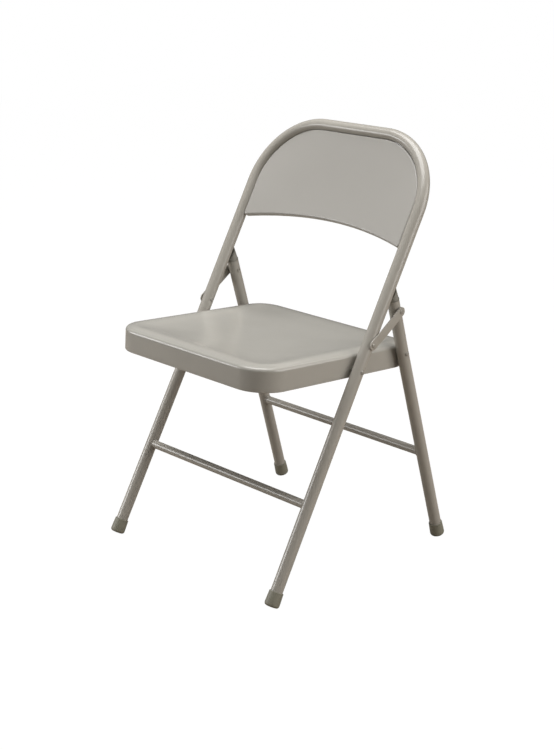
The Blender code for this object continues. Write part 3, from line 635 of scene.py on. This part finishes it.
# %% Press the back panel
PANEL_HALF = RAIL_X - TUBE_RADIUS - GAP
PANEL_HEIGHT = 0.205
PANEL_HUB = 0.107
PANEL_SHEET = 0.001
PANEL_LOW = BOW_TOP - PANEL_HEIGHT
PANEL_TOP = BOW_TOP - TUBE_RADIUS - GAP
PANEL_ARCH = 0.026
PANEL_HOLLOW = 0.0165
PANEL_FACE = -0.005
PANEL_EDGE = 0.004
PANEL_CORNER = 0.005
ARCH_HALF_STEPS = 48


def panel_outline():
    """Anticlockwise along the arch first. The points are close, as wide steps show as rays in the gloss."""
    round_low = PANEL_CORNER
    round_high = BOW_RADIUS - TUBE_RADIUS - GAP
    half, low, high = PANEL_HALF, PANEL_LOW + round_low, PANEL_TOP - round_high
    reach = half - round_low
    points = []
    for step in range(2 * ARCH_HALF_STEPS + 1):
        across = reach * (step / ARCH_HALF_STEPS - 1)
        points.append((across, PANEL_LOW + PANEL_ARCH * (1 - (across / reach) ** 2)))
    points += arc((reach, low), round_low, -90, 0, 5)[1:]
    points += between((half, low), (half, high), 24)
    points += arc((half - round_high, high), round_high, 0, 90, 48)
    points += between((half - round_high, PANEL_TOP), (round_high - half, PANEL_TOP), 40)
    points += arc((round_high - half, high), round_high, 90, 180, 48)
    points += between((-half, high), (-half, low), 24)
    points += arc((-reach, low), round_low, 180, 270, 5)[:-1]
    return points


def on_panel(across, along, offset):
    """Bend the flat skin: offset is its height above the tube's centre plane, backward."""
    rise = min(max((along - PANEL_LOW) / (PANEL_TOP - PANEL_LOW), 0), 1)
    hollow = PANEL_HOLLOW * (1 - (across / PANEL_HALF) ** 2) * (1 - rise ** 2)
    return Vector((across, offset + hollow, along))


section = [(0.0, 0.005), (0.0, 0.002)]
section += [(PANEL_EDGE + x, PANEL_FACE + PANEL_EDGE - z) for x, z in arc((0, 0), PANEL_EDGE, 180, 90, 9)]
field = [(scale, PANEL_FACE) for scale in (
    0.993, 0.98, 0.96, 0.93, 0.89, 0.84, 0.78, 0.71, 0.63, 0.54, 0.45, 0.36, 0.27, 0.18, 0.09)]
panel_skin = pressed_skin(panel_outline(), section, field, (0.0, PANEL_LOW + PANEL_HUB), on_panel)
panel_mesh = mesh_from(panel_skin, "pressed_back", 60)
panel_mesh.transform(on_front)
panel = add_piece(
    "pressed_back", panel_mesh, sheet_enamel, "front_frame_body", ["back_panel"])
give_metal(panel, PANEL_SHEET)

# %% [markdown]
# ## The side links
# A link is a strip with round ends. Its lower eye lies flat on the rail, and a small joggle lifts the rest
# so that it clears the tube when the chair folds. The strip is drawn as rows across it, the joggle is a
# smooth step, and Solidify and Bevel give it metal and softened corners. The result is kept as a plain
# mesh.

# %% Form the links
LINK_RADIUS = 0.00875
LINK_SHEET = 0.002
LINK_JOGGLE = 0.0012
JOGGLE_START = 0.012
JOGGLE_RUN = 0.008
JOGGLE_STEPS = 8
SOFT_CORNER = 0.00045
link_start = hinges["link_swing"]
link_run = hinges["leg_swing"] - link_start
LINK_LENGTH = link_run.length
EYE_FACE = RAIL_X + TUBE_RADIUS + GAP
on_link = Matrix.Translation(link_start) @ Matrix.Rotation(math.atan2(link_run.z, link_run.y), 4, "X")


def link_mesh(side, name):
    """One strip, drawn as rows from its lower eye to its upper one."""
    builder = bmesh.new()
    stations = [(x * LINK_RADIUS, z * LINK_RADIUS) for x, z in arc((0, 0), 1, 180, 90, 10)]
    stations += [(JOGGLE_START + JOGGLE_RUN * step / JOGGLE_STEPS, LINK_RADIUS)
                 for step in range(JOGGLE_STEPS + 1)]
    stations += [(LINK_LENGTH + x * LINK_RADIUS, z * LINK_RADIUS) for x, z in arc((0, 0), 1, 90, 0, 10)]
    rows = []
    for along, half in stations:
        t = min(max((along - JOGGLE_START) / JOGGLE_RUN, 0), 1)
        across = side * (EYE_FACE + LINK_JOGGLE * t * t * (3 - 2 * t))
        width = (-half, half) if half > 1e-6 else (0.0,)
        rows.append([builder.verts.new((across, along, offset)) for offset in width])
    for first, second in zip(rows, rows[1:]):
        builder.faces.new(first + second[::-1])
    for face in builder.faces:
        face.normal_update()
        if face.normal.x * side < 0:
            face.normal_flip()
    item = bpy.data.objects.new(name, mesh_from(builder, name))
    bpy.context.scene.collection.objects.link(item)
    wall = item.modifiers.new("strip", "SOLIDIFY")
    wall.thickness = LINK_SHEET
    wall.offset = 1.0
    soften = item.modifiers.new("softened corners", "BEVEL")
    soften.width = SOFT_CORNER
    soften.segments = 3
    soften.limit_method = "ANGLE"
    soften.angle_limit = math.radians(50)
    made = as_plain_mesh(item)
    made.shade_smooth()
    made.set_sharp_from_angle(angle=math.radians(40))
    made.transform(on_link)
    return made


for word, side in SIDES:
    name = "strip_link_" + word
    add_piece(name, link_mesh(side, name), tube_enamel, "links_body", ["link_" + word])

# %% [markdown]
# ## Rivets with Geometry Nodes
# Every hinge is a tubular rivet: a low domed head outside and a rolled rim with a dark hole inside. They
# are all alike, so one head and one rim are turned, and a tree sets copies of them on points. Each point
# carries the direction that its rivet faces, as an attribute. Copying by hand would work, but the tree
# keeps them identical.

# %% Turn one head and one rolled rim
RIVET_HEAD = 0.0045
head_profile = [(0, -0.0012), (RIVET_HEAD * 0.94, -0.0012), (RIVET_HEAD, -0.0004), (RIVET_HEAD, 0.0002)]
head_profile += smooth_through([
    (RIVET_HEAD * 0.97, 0.0005), (RIVET_HEAD * 0.8, 0.00105), (RIVET_HEAD * 0.5, 0.00145), (0.0, 0.0016)], 4)
rim_profile = [(0, -0.0030), (0.0019, -0.0030), (0.0019, 0.0002)]
rim_profile += [(0.0028 + x, 0.0002 + z) for x, z in arc((0, 0), 0.0009, 180, 0, 10)[1:]]
rim_profile += [(0.0037, -0.0012), (0.0030, -0.0034), (0, -0.0034)]
masters = {}
for name, profile in (("head", head_profile), ("rim", rim_profile)):
    master_mesh = mesh_from(turned(profile, 36), "master " + name, 40)
    masters[name] = bpy.data.objects.new("master " + name, master_mesh)
    bpy.context.scene.collection.objects.link(masters[name])

# %% Build the rivet tree
rivet_tree, given, gives = geometry_tree(
    "rivets on points", [("Rivet", "NodeSocketObject", None), ("Finish", "NodeSocketMaterial", None)])
facing = rivet_tree.nodes.new("GeometryNodeInputNamedAttribute")
facing.data_type = "FLOAT_VECTOR"
facing.inputs["Name"].default_value = "facing"
turn = rivet_tree.nodes.new("FunctionNodeAlignRotationToVector")
turn.axis = "Z"
source = rivet_tree.nodes.new("GeometryNodeObjectInfo")
copies = rivet_tree.nodes.new("GeometryNodeInstanceOnPoints")
rivet_tree.links.new(facing.outputs["Attribute"], turn.inputs["Vector"])
rivet_tree.links.new(given.outputs["Rivet"], source.inputs["Object"])
rivet_tree.links.new(given.outputs["Geometry"], copies.inputs["Points"])
rivet_tree.links.new(source.outputs["Geometry"], copies.inputs["Instance"])
rivet_tree.links.new(turn.outputs["Rotation"], copies.inputs["Rotation"])
end_tree(rivet_tree, copies.outputs["Instances"], given, gives)


def rivets_at(name, master, places):
    """Copies of a master, one on each (place, facing) pair, as a plain mesh."""
    mesh = bpy.data.meshes.new(name)
    mesh.from_pydata([place for place, _ in places], [], [])
    facing = mesh.attributes.new("facing", "FLOAT_VECTOR", "POINT")
    for index, (_, direction) in enumerate(places):
        facing.data[index].vector = direction
    item = bpy.data.objects.new(name, mesh)
    bpy.context.scene.collection.objects.link(item)
    add_tree(item, rivet_tree, {"Rivet": masters[master], "Finish": rivet_steel})
    made = as_plain_mesh(item)
    made.set_sharp_from_angle(angle=math.radians(40))
    return made


# %% Set the rivets
def both_sides(pivot, distance, facing):
    """A (place, facing) pair on each side. Facing is 1 outward and -1 inward."""
    return [(Vector((side * distance, pivot.y, pivot.z)), Vector((side * facing, 0, 0))) for _, side in SIDES]


def of_both(node):
    return [node + word for word, _ in SIDES]


seat_pivot = hinges["seat_fold"]
RAIL_OUT, RAIL_IN = RAIL_X + TUBE_RADIUS, RAIL_X - TUBE_RADIUS
LEG_OUT, LEG_IN = LEG_X + TUBE_RADIUS, LEG_X - TUBE_RADIUS
LINK_OUT = EYE_FACE + LINK_SHEET
SKIRT_IN = SEAT_HALF - SEAT_SHEET
seat_heads, link_heads = both_sides(seat_pivot, RAIL_OUT, 1), both_sides(link_start, LINK_OUT, 1)
seat_rims, link_rims = both_sides(seat_pivot, SKIRT_IN, -1), both_sides(link_start, RAIL_IN, -1)
upper_eye = hinges["leg_swing"]
for name, master, body, places, nodes in (
        ("frame_rivet_heads", "head", "front_frame_body", seat_heads + link_heads,
         of_both("seat_rail_rivet_") + of_both("link_rail_rivet_")),
        ("link_rivet_heads", "head", "links_body", both_sides(upper_eye, LINK_OUT + LINK_JOGGLE, 1),
         of_both("link_leg_rivet_")),
        ("leg_rivet_heads", "head", "rear_legs_body", both_sides(leg_pivot, LEG_OUT, 1),
         of_both("seat_leg_rivet_")),
        ("frame_rivet_rims", "rim", "front_frame_body", link_rims + seat_rims, ()),
        ("link_rivet_rims", "rim", "links_body", both_sides(upper_eye, LEG_IN, -1), ()),
        ("seat_rivet_rims", "rim", "seat_body", both_sides(leg_pivot, SKIRT_IN, -1),
         of_both("seat_leg_rivet_tail_"))):
    add_piece(name, rivets_at(name, master, places), rivet_steel, body, nodes)
for master in masters.values():
    bpy.data.objects.remove(master)

# %% [markdown]
# ## Spacers and washers
# Short rings hold the seat and the links off the tubes. They are plain turned rings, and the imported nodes
# already have that shape, so they stay and only get their finish.

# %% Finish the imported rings
for ring in ("seat_rail_spacer_", "seat_leg_spacer_", "link_leg_washer_"):
    for name in of_both(ring):
        node = frame["nodes"][name]
        node.data.materials.clear()
        node.data.materials.append(rivet_steel)
        print(name, "keeps its packed shape")

# %% [markdown]
# ## Plastic feet
# A moulded boot is pushed over each tube. It flares a little from its lip to its sole, and the sole is
# rounded and slightly worn flat on the floor. It is turned about the tube and then sawn off at the floor's
# level, which is just what wear does.

# %% Turn the feet
FOOT_RADIUS = TUBE_RADIUS + 0.0026
FOOT_EDGE = 0.005
FOOT_LENGTH = 0.0275
FOOT_LIP = TUBE_RADIUS + 0.0019
FOOT_BORE = TUBE_RADIUS + 0.00005
FOOT_WEAR = 0.0005
CUP_DEPTH = 0.004
SOLE_RADIUS = FOOT_RADIUS - FOOT_EDGE


def foot_mesh(name, side, lean, pivot_x, pivot_along, place):
    """A boot turned about its tube, leant and splayed with it, and worn off at the floor."""
    centre = (SOLE_RADIUS * math.sin(lean) + FOOT_EDGE - FOOT_WEAR) / math.cos(lean)
    lip = centre - FOOT_EDGE + FOOT_LENGTH
    bore = FOOT_BORE
    profile = [(0, lip - CUP_DEPTH), (bore, lip - CUP_DEPTH), (bore, lip - 0.0003)]
    profile += smooth_through([
        (bore + 0.0003, lip), (FOOT_LIP - 0.0005, lip), (FOOT_LIP, lip - 0.0006),
        (FOOT_LIP + 0.0001, lip - 0.004), (FOOT_RADIUS - 0.0002, lip - 0.013),
        (FOOT_RADIUS, centre + 0.001)], 5)
    profile += arc((SOLE_RADIUS, centre), FOOT_EDGE, 0, -90, 14)
    profile += [(0, centre - FOOT_EDGE)]
    builder = turned(profile, 64)
    splay = math.atan2(FOOT_X - pivot_x, pivot_along)
    stand = place @ Matrix.Translation((side * FOOT_X, 0, 0)) @ Matrix.Rotation(-side * splay, 4, "Y")
    bmesh.ops.transform(builder, verts=builder.verts, matrix=stand)
    saw_off(builder, Vector(), Vector((0, 0, -1)))
    return mesh_from(builder, name, 40)


for word, side in SIDES:
    front = foot_mesh("front_boot_" + word, side, RAIL_RAKE, RAIL_X, RAIL_PIVOT_ALONG, on_front)
    add_piece(
        "front_boot_" + word, front, foot_plastic, "front_frame_body", ["front_foot_" + word])
    rear = foot_mesh("rear_boot_" + word, side, LEG_LEAN, LEG_X, LEG_PIVOT_ALONG, on_rear)
    add_piece(
        "rear_boot_" + word, rear, foot_plastic, "rear_legs_body", ["rear_foot_" + word])

# %% [markdown]
# ## Leg top caps
# The open chair rests on these: each leg ends in a plastic wedge that bears on the back of the rail. It has
# a thin collar on the tube's end and a tapered body, cut off along the rail's back.

# %% Turn the leg caps
CAP_TAPER = 0.0027
CAP_HEIGHT = 0.033
PLUG_DEPTH = 0.003
TUBE_BORE = TUBE_RADIUS - 0.0015
rail_back = Vector((0, math.cos(RAIL_RAKE), -math.sin(RAIL_RAKE)))
rail_surface = Vector((0, FRONT_FOOT_Y, 0)) + rail_back * (TUBE_RADIUS + GAP)
for word, side in SIDES:
    low = LEG_TUBE_TOP + GAP
    collar = TUBE_RADIUS + GAP
    body_radius = TUBE_RADIUS - GAP
    profile = [(0, low - PLUG_DEPTH), (TUBE_BORE, low - PLUG_DEPTH), (TUBE_BORE, low)]
    profile += smooth_through([
        (collar - 0.0004, low), (collar, low + 0.0004), (collar, low + 0.0017),
        (collar - 0.0003, low + 0.0021),
        (body_radius, low + 0.0024), (body_radius - CAP_TAPER * 0.3, low + 0.010),
        (TUBE_RADIUS - CAP_TAPER, low + CAP_HEIGHT)], 4)
    profile += [(0, low + CAP_HEIGHT)]
    builder = turned(profile, 64)
    leg_axis = on_rear @ Matrix.Translation((side * LEG_X, 0, 0))
    bmesh.ops.transform(builder, verts=builder.verts, matrix=leg_axis)
    saw_off(builder, rail_surface, -rail_back)
    name = "leg_wedge_" + word
    wedge = mesh_from(builder, name, 40)
    add_piece(name, wedge, cap_plastic, "rear_legs_body", ["leg_top_cap_" + word])

# %% [markdown]
# ## The floor and the air
# A pale sweep keeps the eye on the chair. The floor takes only a breath of shadow, and what the camera sees
# beyond it is the same white. For light and reflections the surroundings are a quieter grey, darker below,
# as in a studio where only the lamps are bright.

# %% Lay the floor and set the surroundings
FLOOR_HALF = 6
FLOOR_DROP = 0.0002
floor_mesh = bpy.data.meshes.new("studio floor")
floor_corners = [(x * FLOOR_HALF, y * FLOOR_HALF, 0) for x, y in ((-1, -1), (1, -1), (1, 1), (-1, 1))]
floor_mesh.from_pydata(floor_corners, [], [(0, 1, 2, 3)])
floor = bpy.data.objects.new("studio_floor", floor_mesh)
floor.location.z = -FLOOR_DROP
bpy.context.scene.collection.objects.link(floor)

pale = bpy.data.materials.new("pale floor")
pale.use_nodes = True
nodes, links = pale.node_tree.nodes, pale.node_tree.links
paper = nodes["Principled BSDF"]
paper.inputs["Base Color"].default_value = (0.34, 0.29, 0.24, 1)
paper.inputs["Roughness"].default_value = 0.9
glow = nodes.new("ShaderNodeEmission")
glow.inputs["Strength"].default_value = 1.06
seen = nodes.new("ShaderNodeLightPath")
both = nodes.new("ShaderNodeMixShader")
share = nodes.new("ShaderNodeMath")
share.operation = "MULTIPLY"
share.inputs[1].default_value = 0.94
links.new(seen.outputs["Is Camera Ray"], share.inputs[0])
links.new(share.outputs["Value"], both.inputs["Fac"])
links.new(paper.outputs["BSDF"], both.inputs[1])
links.new(glow.outputs["Emission"], both.inputs[2])
links.new(both.outputs["Shader"], nodes["Material Output"].inputs["Surface"])
floor_mesh.materials.append(pale)

world = bpy.data.worlds.new("studio air")
bpy.context.scene.world = world
world.use_nodes = True
nodes, links = world.node_tree.nodes, world.node_tree.links
air = nodes["Background"]
direction = nodes.new("ShaderNodeTexCoord")
height = nodes.new("ShaderNodeSeparateXYZ")
tone = nodes.new("ShaderNodeMapRange")
tone.inputs["From Min"].default_value = -0.1
tone.inputs["From Max"].default_value = 0.9
tone.inputs["To Min"].default_value = 0.07
tone.inputs["To Max"].default_value = 0.10
white = nodes.new("ShaderNodeBackground")
white.inputs["Strength"].default_value = 1.0
seen = nodes.new("ShaderNodeLightPath")
both = nodes.new("ShaderNodeMixShader")
links.new(direction.outputs["Generated"], height.inputs["Vector"])
links.new(height.outputs["Z"], tone.inputs["Value"])
links.new(tone.outputs["Result"], air.inputs["Strength"])
links.new(seen.outputs["Is Camera Ray"], both.inputs["Fac"])
links.new(air.outputs["Background"], both.inputs[1])
links.new(white.outputs["Background"], both.inputs[2])
links.new(both.outputs["Shader"], nodes["World Output"].inputs["Surface"])
for background in (air, white):
    background.inputs["Color"].default_value = (1, 1, 1, 1)
bpy.context.scene.view_settings.view_transform = "Standard"

# %% [markdown]
# ## Lamps
# A broad lamp overhead lights the seat and the panel softly. A smaller softbox low in front, on the
# sitter's right, lights the skirt and draws a bright line down the front of each tube. A large, slightly
# warm softbox behind the sitter's left keeps the flank that faces the camera readable. The lamps' names say
# left and right as the camera sees them. Broad lamps were chosen because small ones leave hard spots in the
# gloss.

# %% Hang the lamps
chair_middle = Vector((0, 0, 0.42))


def towards(bearing, height):
    """A unit vector from the chair. Bearing is in degrees from the front, turning to the sitter's left."""
    bearing, height = math.radians(bearing), math.radians(height)
    return Vector((
        math.sin(bearing) * math.cos(height), -math.cos(bearing) * math.cos(height), math.sin(height)))


def area_lamp(name, place, width, height, power, colour=(1, 1, 1)):
    """A soft lamp that faces the middle of the chair. Sizes are in metres and power in watts."""
    light = bpy.data.lights.new(name, "AREA")
    light.shape = "RECTANGLE"
    light.size = width
    light.size_y = height
    light.energy = power
    light.color = colour
    lamp = bpy.data.objects.new(name, light)
    lamp.location = place
    lamp.rotation_euler = (chair_middle - place).to_track_quat("-Z", "Y").to_euler()
    bpy.context.scene.collection.objects.link(lamp)
    print(name, power, "watts")


area_lamp("overhead bank", Vector((-0.2, -0.15, 2.9)), 2.2, 2.2, 97)
area_lamp("front left softbox", chair_middle + towards(312, 9) * 2.6, 1.2, 0.85, 25)
area_lamp("back right softbox", chair_middle + towards(114, 16) * 2.8, 2.3, 1.7, 48, (1, 0.97, 0.94))

# %% [markdown]
# ## The camera
# The camera stands off the front corner, above the chair's seat, with a long lens, so that the rails stay
# nearly parallel. It is turned by a tenth of a degree about its own line of sight.

# %% Set the camera
aim = Vector((0.00002, -0.0024, 0.32755))
CAMERA_DISTANCE = 2.68094
away = towards(45.924, 18.168)
lens = bpy.data.cameras.new("studio camera")
lens.sensor_width = 36
lens.lens = 68.386
camera = bpy.data.objects.new("studio_camera", lens)
camera.location = aim + away * CAMERA_DISTANCE
level = (-away).to_track_quat("-Z", "Y").to_matrix().to_4x4()
camera.rotation_euler = (level @ Matrix.Rotation(math.radians(0.1), 4, "Z")).to_euler()
bpy.context.scene.collection.objects.link(camera)
bpy.context.scene.camera = camera
print("camera", CAMERA_DISTANCE, "m from the chair")
